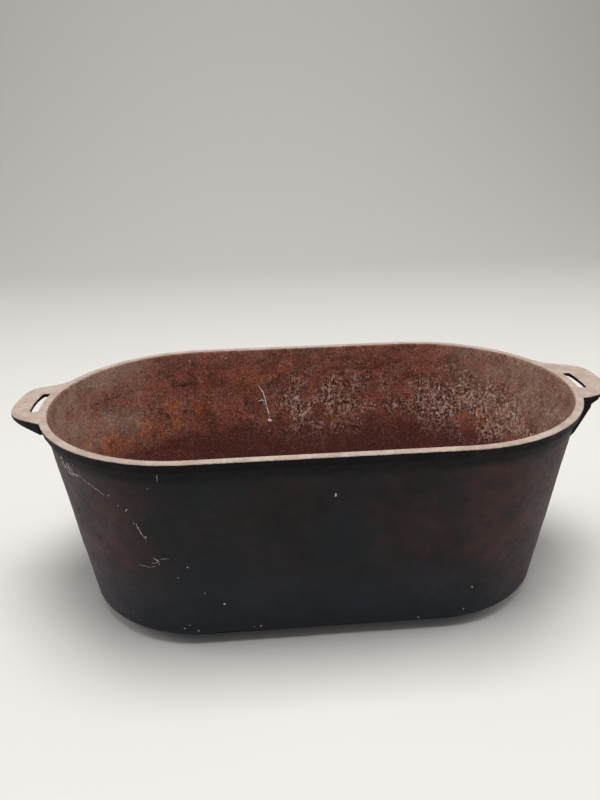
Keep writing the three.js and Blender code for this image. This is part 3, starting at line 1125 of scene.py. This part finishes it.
@dataclass(frozen=True)
class Gusset:
    """A tall upright web under a leg of the right tab, running down past the band to the wall."""

    casting: Casting
    sign: int
    angle: float = math.radians(16.3)
    thickness: float = 4.5
    edge_radius: float = 1.0

    def build(self, material: bpy.types.Material) -> bpy.types.Object:
        """Makes the web: its outline is shrunk towards its middle over both faces and swept across."""
        outline = evenly(np.array(GUSSET_EDGE + GUSSET_EDGE[:1]), 121)[:-1]
        middle = np.array([142.5, 181.0])
        distance = np.linalg.norm(outline - middle, axis=1)
        turn = np.linspace(0, math.pi / 2, 5)
        face = np.array([0.02, 0.3, 0.6, 0.85])
        rounding = self.edge_radius * (1 - np.sin(turn))[:, None] * np.ones((1, len(outline)))
        inset = np.concatenate([distance[None] * (1 - face[:, None]), rounding])
        half = self.thickness / 2
        across = np.concatenate([np.full(len(face), half), half - self.edge_radius * (1 - np.cos(turn))])
        inset = np.concatenate([inset, inset[::-1]])
        across = np.concatenate([across, -across[::-1]])
        flat = middle + (outline - middle)[None] * (1 - inset / distance)[..., None]
        turned = self.sign * self.angle
        x = self.casting.plan.centre + flat[..., 0] * math.cos(turned) - across[:, None] * math.sin(turned)
        y = flat[..., 0] * math.sin(turned) + across[:, None] * math.cos(turned)
        place = np.stack([x, y, flat[..., 1]], axis=2)
        place[..., 1] += 0.2 * layered(place, 14, 63, 2)
        # painted shade: darker towards the top of the web, under the tab
        painted_shade, bloom = 0.6 * ease(155, 190, place[..., 2]), 0.5 * self.casting.bloom(place)
        name = "front" if self.sign < 0 else "rear"
        return grid_piece(f"right_{name}_gusset", place, False, material,
                          {Field.PAINTED_SHADE: painted_shade, Field.BLOOM: bloom})


# ------------------------------------------------------------------ lint, web and drops

# Threads: the places (x, z) that each goes through, its radius, and the seed of its noise.
WEB = (
    (((-219, 184), (-217, 177), (-209, 173), (-201, 172)), 0.3, 101),
    (((-216, 178), (-212, 176), (-206, 176)), 0.25, 107),
    (((-221, 178), (-214, 172), (-205, 170)), 0.22, 111),
    (((-214, 184), (-211, 179), (-212, 173)), 0.25, 117),
    (((-202, 173), (-192, 168), (-180, 163)), 0.2, 113),
    (((-200, 171), (-190, 167), (-178, 160)), 0.14, 119),
    (((-157, 139), (-154, 130), (-150, 121)), 0.25, 121),
    (((-147, 103), (-142, 101), (-146, 97), (-149, 98)), 0.32, 131),
    (((-141, 103), (-137, 104), (-133, 103)), 0.18, 133),
    (((-160, 93), (-152, 92), (-145, 94)), 0.16, 135),
    (((-134.5, 191), (-134, 187), (-134.5, 182)), 0.2, 137),
)
STRAW = (
    (((-51, 158), (-44, 141), (-40, 118)), 1.0, 141),
    (((-49, 143), (-45, 136), (-42, 127)), 0.6, 151),
    (((-53, 139), (-47, 141), (-43, 138)), 0.45, 149),
)
# Drops and lint: x, z, width and height.
LINT = ((-220, 182, 2.2, 3.2), (-218.5, 178, 1.6, 3.6), (-217, 174, 2.4, 1.6), (-214, 179, 1.4, 2.0),
        (-212, 173.5, 2.6, 1.4), (-208, 172, 3.0, 1.6), (-205, 171.5, 2.6, 1.2),
        (-210, 178, 1.3, 1.3), (-207, 182, 1.2, 1.6), (-204, 186, 1.4, 1.2), (-150.5, 125, 1.5, 1.8),
        (-156, 134, 1.6, 1.9), (-144, 101, 2.6, 1.3), (-142.5, 97, 1.4, 2.2), (-163, 151.5, 1.8, 1.2),
        (-143, 175, 1.4, 1.1), (-177, 163, 1.5, 1.2), (-66, 19, 1.6, 1.0))
DROPS_OUTSIDE = ((5, 161, 3.0, 6.0), (-119, 94, 1.5, 2.0), (-128, 82, 1.3, 1.6), (-107, 63, 1.2, 1.5),
                 (-91, 49, 3.0, 2.6), (131, 48, 1.8, 2.2), (-170, 154, 1.6, 1.2),
                 (-164, 150, 2.2, 1.2), (-159, 138, 1.6, 2.0), (-128, 21, 2.2, 1.6),
                 (-116, 18, 2.6, 1.2), (-123, 25, 1.4, 1.4), (84, 16, 2.4, 1.2), (126, 22, 1.6, 1.4),
                 (-60, 19, 2.8, 1.0))
DROPS_INSIDE = ((-40, 115, 8.6, 7.6), (-41, 103, 1.6, 1.6), (-87, 191, 3.0, 1.2), (85, 128, 2.0, 1.8),
                (184, 138, 1.8, 1.6))


@dataclass(frozen=True)
class Litter:
    """What has stuck to the pot in a shed: a torn web, lint, a straw and dried drops."""

    casting: Casting
    lift: float = 0.5
    drop_size: float = 0.6

    def on_wall(self, x: float, z: float, inside: bool) -> tuple[np.ndarray, np.ndarray]:
        """A place on the front face, or on the inner rear face, and the direction away from the iron."""
        c = self.casting
        inset = c.inner_inset(z) if inside else c.outer_inset(z)
        beyond = math.copysign(max(abs(x) - c.plan.centre, 0), x)
        depth = c.plan.depth_at(x, inset)
        away = np.array([-beyond, -depth, 0.0]) if inside else np.array([beyond, -depth, 0.0])
        away = away / np.linalg.norm(away)
        return np.array([x, depth if inside else -depth, z]) + away * self.lift, away

    def strand(self, stops: tuple[tuple[float, float], ...], radius: float, seed: int, inside: bool,
               sides: int = 6, steps: int = 60) -> tuple[np.ndarray, np.ndarray]:
        """A thin crooked thread through places on the wall.

        The stops are joined by straight stretches, shaken sideways by noise, and a ring of points is
        set round each step. The ends shrink to points.
        """
        knots = np.array([self.on_wall(x, z, inside)[0] for x, z in stops])
        walked = np.concatenate([[0], np.cumsum(np.linalg.norm(np.diff(knots, axis=0), axis=1))])
        at = np.linspace(0, walked[-1], steps)
        path = np.stack([np.interp(at, walked, knots[:, axis]) for axis in range(3)], axis=1)
        shake = np.stack([noise(path, 7, seed + axis) for axis in range(3)], axis=1) * 1.3
        path = path + shake * np.array([1, 0.25, 1])
        along = np.gradient(path, axis=0)
        along /= np.linalg.norm(along, axis=1)[:, None]
        across = np.cross(along, [0.0, 1.0, 0.0])
        across /= np.linalg.norm(across, axis=1)[:, None]
        over = np.cross(along, across)
        taper = np.sqrt(np.sin(np.linspace(0.02, 3.12, steps)))
        swell = radius * (0.7 + 0.5 * noise(path, 4, seed + 9)) * taper
        angle = np.arange(sides) / sides * 2 * math.pi
        wide, tall = np.cos(angle)[None, :, None], np.sin(angle)[None, :, None]
        ring = wide * across[:, None] + tall * over[:, None]
        points = path[:, None] + ring * swell[:, None, None]
        return points.reshape(-1, 3), grid_faces(steps, sides, False)

    def drop(self, x: float, z: float, wide: float, tall: float, inside: bool,
             sides: int = 10) -> tuple[np.ndarray, np.ndarray]:
        """A flat dried drop: rings that shrink towards its top and sink into the iron below."""
        centre, away = self.on_wall(x, z, inside)
        across = np.cross(away, [0.0, 0.0, 1.0])
        upward = np.cross(across, away)
        angle = np.arange(sides) / sides * 2 * math.pi
        wobble = 1 + 0.45 * noise(np.stack([np.cos(angle), np.sin(angle), 0 * angle + x], 1), 0.8, 83)
        sideways = np.cos(angle)[:, None] * across * self.drop_size * wide
        upwards = np.sin(angle)[:, None] * upward * self.drop_size * tall
        rings = []
        for share, height in ((0.03, -1.2), (1.0, -1.2), (1.0, -0.4), (0.8, 0.0), (0.4, 0.25), (0.03, 0.3)):
            rings.append(centre + (sideways + upwards) * wobble[:, None] * share / 2 + away * height)
        return np.concatenate(rings), grid_faces(len(rings), sides, False)

    def gather(self, name: str, parts: list[tuple[np.ndarray, np.ndarray]],
               material: bpy.types.Material) -> bpy.types.Object:
        """Joins small parts into one piece, each with its own faces turned outwards."""
        points, faces, start = [], [], 0
        for part_points, part_faces in parts:
            points.append(part_points)
            faces.append(facing_out(part_points, part_faces) + start)
            start += len(part_points)
        return make_piece(name, np.concatenate(points), np.concatenate(faces), material)

    def build(self, material: bpy.types.Material) -> list[bpy.types.Object]:
        """Makes the web with its lint, the straw inside, and the drops outside and inside."""
        web = [self.strand(stops, radius, seed, False) for stops, radius, seed in WEB]
        straw = [self.strand(stops, radius, seed, True) for stops, radius, seed in STRAW]
        drops = [self.drop(*drop, False) for drop in LINT + DROPS_OUTSIDE]
        drops += [self.drop(*drop, True) for drop in DROPS_INSIDE]
        return [
            self.gather("torn_web", web, material),
            self.gather("straw_inside", straw, material),
            self.gather("dried_drops", drops, material),
        ]


# ------------------------------------------------------------------ studio

@dataclass(frozen=True)
class Studio:
    """A pale sweep of paper, soft light from above, and the camera."""

    eye: tuple[float, float, float] = (-0.0555, -0.5973, 0.4348)
    yaw: float = 0.0716
    pitch: float = 0.3879
    roll: float = -0.0198
    lens: float = 30.11
    half_width: float = 7.0
    sweep_start: float = 1.6
    sweep_radius: float = 1.2
    sweep_height: float = 6.0
    room: str = "#f2f1ee"
    room_strength: float = 0.3
    light_size: float = 1.2
    overhead_power: float = 52.0
    side_power: float = 12.0

    def place_camera(self) -> None:
        """Stands the camera above the front of the pot, looking down into it."""
        away = Vector((math.sin(self.yaw) * math.cos(self.pitch), math.cos(self.yaw) * math.cos(self.pitch),
                       -math.sin(self.pitch)))
        level = away.cross(Vector((0, 0, 1))).normalized()
        above = level.cross(away)
        right = level * math.cos(self.roll) + above * math.sin(self.roll)
        up = above * math.cos(self.roll) - level * math.sin(self.roll)
        data = bpy.data.cameras.new("camera")
        data.lens, data.clip_start, data.clip_end = self.lens, 0.01, 50
        camera = bpy.data.objects.new("camera", data)
        turned = Matrix((right, up, -away)).transposed().to_4x4()
        camera.matrix_world = Matrix.Translation(self.eye) @ turned
        bpy.context.scene.collection.objects.link(camera)
        bpy.context.scene.camera = camera

    def lay_paper(self, material: bpy.types.Material) -> None:
        """Lays the floor and curves it up far behind the pot."""
        turn = np.linspace(0, math.pi / 2, 24)
        curve = self.sweep_start + self.sweep_radius * np.sin(turn)
        y = np.concatenate([[-self.half_width], curve, curve[-1:]])
        z = np.concatenate([[0.0], self.sweep_radius * (1 - np.cos(turn)), [self.sweep_height]])
        x = np.array([-self.half_width, self.half_width])
        place = np.stack(np.broadcast_arrays(x[None], y[:, None], z[:, None]), -1).reshape(-1, 3)
        row = np.arange(len(y) - 1)[:, None] * 2
        faces = row + np.array([[0, 1, 3, 2]])
        mesh = bpy.data.meshes.new("paper_sweep")
        mesh.from_pydata(place.tolist(), [], faces.tolist())
        mesh.polygons.foreach_set("use_smooth", np.ones(len(faces), dtype=bool))
        mesh.materials.append(material)
        paper = bpy.data.objects.new("paper_sweep", mesh)
        bpy.context.scene.collection.objects.link(paper)

    def hang_light(self, name: str, place: tuple[float, float, float], aim: tuple[float, float, float],
                   power: float) -> None:
        """Hangs one square soft light that points at a place."""
        data = bpy.data.lights.new(name, "AREA")
        data.shape, data.size, data.energy = "SQUARE", self.light_size, power
        light = bpy.data.objects.new(name, data)
        light.location = place
        light.rotation_mode = "QUATERNION"
        light.rotation_quaternion = (Vector(aim) - Vector(place)).to_track_quat("-Z", "Y")
        bpy.context.scene.collection.objects.link(light)

    def light(self) -> None:
        """A dim even room, a broad light above and a little in front, and weak ones at both sides."""
        world = bpy.data.worlds.new("studio")
        world.use_nodes = True
        shade = world.node_tree.nodes["Background"]
        shade.inputs["Color"].default_value = linear(self.room)
        shade.inputs["Strength"].default_value = self.room_strength
        bpy.context.scene.world = world
        self.hang_light("overhead", (0.0, -0.15, 2.3), (0.0, 0.0, 0.1), self.overhead_power)
        self.hang_light("left_side", (-2.0, 0.2, 1.1), (-0.1, 0.0, 0.1), self.side_power)
        self.hang_light("right_side", (2.0, 0.2, 1.1), (0.1, 0.0, 0.1), self.side_power)
        bpy.context.scene.view_settings.view_transform = "Standard"


def main() -> None:
    """Builds the studio and the pot."""
    logging.basicConfig(level=logging.INFO, format="%(name)s: %(message)s")
    studio = Studio()
    studio.place_camera()
    studio.lay_paper(StudioPaper().make())
    studio.light()
    casting = Casting.from_frame()
    seasoned, rusted, worn = SeasonedIron().make(), RustedIron().make(), WornIron().make()
    wall = PotWall(casting)
    place_piece(wall.build_outside(seasoned), "wall_iron", "side_wall", "lower_corner")
    place_piece(wall.build_inside(rusted), "wall_iron", "side_wall", "lower_corner")
    place_piece(RimBand(casting).build(worn), "rim_iron", "rim_band")
    place_piece(BasePan(casting).build(rusted), "base_iron", "sunken_base")
    left = Handle(casting, Side.LEFT, LEFT_EDGE, 22.0, 22.0, 7.5).build(worn)
    place_piece(left, "handle_iron", "left_handle", "left_handle_front_rib", "left_handle_rear_rib")
    right = Handle(casting, Side.RIGHT, RIGHT_EDGE, 25.0, 15.0).build(worn)
    place_piece(right, "handle_iron", "right_handle")
    place_piece(Gusset(casting, -1).build(seasoned), "handle_iron", "right_handle_front_rib")
    place_piece(Gusset(casting, 1).build(seasoned), "handle_iron", "right_handle_rear_rib")
    for piece in Litter(casting).build(PaleLint().make()):
        place_piece(piece, "handle_iron")


if __name__ == "__main__":
    main()
